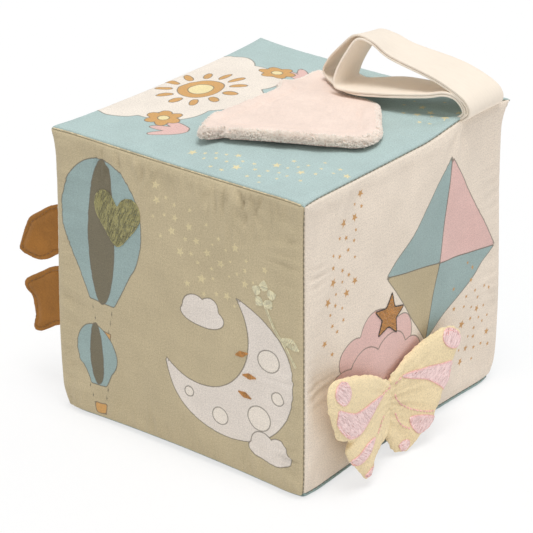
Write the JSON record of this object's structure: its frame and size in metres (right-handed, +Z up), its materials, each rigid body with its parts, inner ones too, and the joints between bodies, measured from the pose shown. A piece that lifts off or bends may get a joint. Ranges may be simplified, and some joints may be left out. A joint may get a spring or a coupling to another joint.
{
  "type": "soft fabric activity block",
  "caption": "Soft foam cube in sewn cotton with a plush flap and a tape loop on top, a padded butterfly on one side and velvet leaves on another, and a rattle inside.",
  "frame": {"origin": "centre of the base, on the surface that the block stands on", "axes": "+Z up, the front side with its print faces -Y, and the side with the butterfly faces +X"},
  "size_m": [0.1961, 0.16, 0.1825],
  "materials": {
    "blue_cotton": "woven cotton, printed",
    "teal_cotton": "woven cotton",
    "olive_cotton": "woven cotton, printed",
    "cream_cotton": "woven cotton, printed",
    "pale_cotton": "woven cotton",
    "foam": "open-cell foam",
    "rattle_shell": "moulded, smooth",
    "rattle_bead": "moulded, smooth",
    "pink_plush": "short-pile plush",
    "pink_lining": "woven cotton",
    "cream_tape": "fine twill cotton",
    "yellow_cotton": "padded cotton with satin-stitch embroidery",
    "mustard_velvet": "short-pile velvet, topstitched"
  },
  "bodies": {
    "block": {"top_panel": "blue_cotton", "bottom_panel": "teal_cotton", "front_panel": "olive_cotton", "right_panel": "cream_cotton", "back_panel": "teal_cotton", "left_panel": "pale_cotton", "foam_core": "foam", "foam_plug": "foam", "rattle_cup": "rattle_shell", "rattle_lid": "rattle_shell", "flap_sewn_plush": "pink_plush", "flap_sewn_lining": "pink_lining", "tape_ends": "cream_tape", "butterfly_body": "yellow_cotton"},
    "flap": {"flap_plush": "pink_plush", "flap_lining": "pink_lining"},
    "tape_loop": {"tape_outer_layer": "cream_tape", "tape_inner_layer": "cream_tape"},
    "left_wing": {"left_wing_front": "yellow_cotton", "left_wing_back": "yellow_cotton"},
    "right_wing": {"right_wing_front": "yellow_cotton", "right_wing_back": "yellow_cotton"},
    "upper_leaf": {"upper_leaf_front": "mustard_velvet", "upper_leaf_back": "mustard_velvet"},
    "lower_leaf": {"lower_leaf_front": "mustard_velvet", "lower_leaf_back": "mustard_velvet"},
    "bead_1": {"rattle_bead_1": "rattle_bead"},
    "bead_2": {"rattle_bead_2": "rattle_bead"},
    "bead_3": {"rattle_bead_3": "rattle_bead"},
    "bead_4": {"rattle_bead_4": "rattle_bead"},
    "bead_5": {"rattle_bead_5": "rattle_bead"}
  },
  "joints": [
    {"name": "flap_lift", "type": "hinge", "parent": "block", "child": "flap", "pos_m": [0.015, 0.016, 0.1552], "axis": [-1, 0, 0], "range_deg": [0, 85]},
    {"name": "tape_swing", "type": "hinge", "parent": "block", "child": "tape_loop", "pos_m": [0.0748, 0.057, 0.1514], "axis": [0, 1, 0], "range_deg": [0, 120]},
    {"name": "left_wing_fold", "type": "hinge", "parent": "block", "child": "left_wing", "pos_m": [0.07873, -0.022, 0.0275], "axis": [0, 0, 1], "range_deg": [-6, 60]},
    {"name": "right_wing_fold", "type": "hinge", "parent": "block", "child": "right_wing", "pos_m": [0.07873, -0.017, 0.0275], "axis": [0, 0, -1], "range_deg": [-6, 60]},
    {"name": "upper_leaf_swing", "type": "hinge", "parent": "block", "child": "upper_leaf", "pos_m": [-0.07641, -0.066, 0.086], "axis": [0, 0, 1], "range_deg": [-70, 70]},
    {"name": "lower_leaf_swing", "type": "hinge", "parent": "block", "child": "lower_leaf", "pos_m": [-0.07674, -0.066, 0.0505], "axis": [0, 0, 1], "range_deg": [-70, 70]},
    {"name": "bead_1_hop", "type": "slide", "parent": "block", "child": "bead_1", "axis": [0, 0, 1], "range_m": [0, 0.014]},
    {"name": "bead_2_hop", "type": "slide", "parent": "block", "child": "bead_2", "axis": [0, 0, 1], "range_m": [0, 0.014]},
    {"name": "bead_3_hop", "type": "slide", "parent": "block", "child": "bead_3", "axis": [0, 0, 1], "range_m": [0, 0.014]},
    {"name": "bead_4_hop", "type": "slide", "parent": "block", "child": "bead_4", "axis": [0, 0, 1], "range_m": [0, 0.014]},
    {"name": "bead_5_hop", "type": "slide", "parent": "block", "child": "bead_5", "axis": [0, 0, 1], "range_m": [0, 0.014]}
  ]
}
